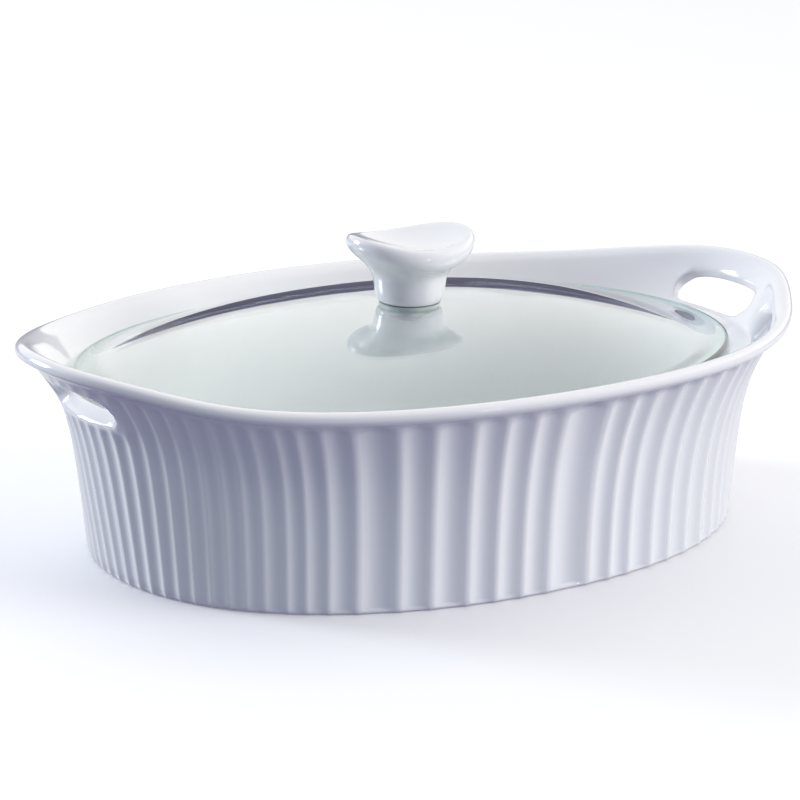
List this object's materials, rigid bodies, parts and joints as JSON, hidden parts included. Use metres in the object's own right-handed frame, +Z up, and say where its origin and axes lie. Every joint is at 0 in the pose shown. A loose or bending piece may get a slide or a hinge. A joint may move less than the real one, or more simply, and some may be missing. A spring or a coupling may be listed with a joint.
{
  "type": "covered casserole dish",
  "caption": "Oval fluted stoneware baking dish with flared slotted end handles and a domed glass lid that has a saddle-shaped ceramic knob.",
  "frame": {"origin": "middle of the footprint, on the surface it stands on", "axes": "+Z up, +X along the dish from handle to handle, +Y across it"},
  "size_m": [0.3385, 0.2228, 0.1211],
  "materials": {
    "white_glaze": "clear gloss glaze over white stoneware",
    "lid_glass": "clear tempered glass with a green edge",
    "knob_glaze": "clear gloss glaze over white stoneware",
    "insert_brass": "machined",
    "silicone": "translucent silicone, satin",
    "stainless": "bright stainless steel"
  },
  "bodies": {
    "dish": {"dish": "white_glaze"},
    "lid": {"lid_glass": "lid_glass", "knob": "knob_glaze", "knob_insert": "insert_brass", "knob_gasket": "silicone", "under_seal": "silicone", "steel_washer": "stainless", "knob_screw": "stainless"}
  },
  "joints": [
    {"name": "lid_lift", "type": "slide", "parent": "dish", "child": "lid", "axis": [0, 0, 1], "range_m": [0, 0.12]}
  ]
}
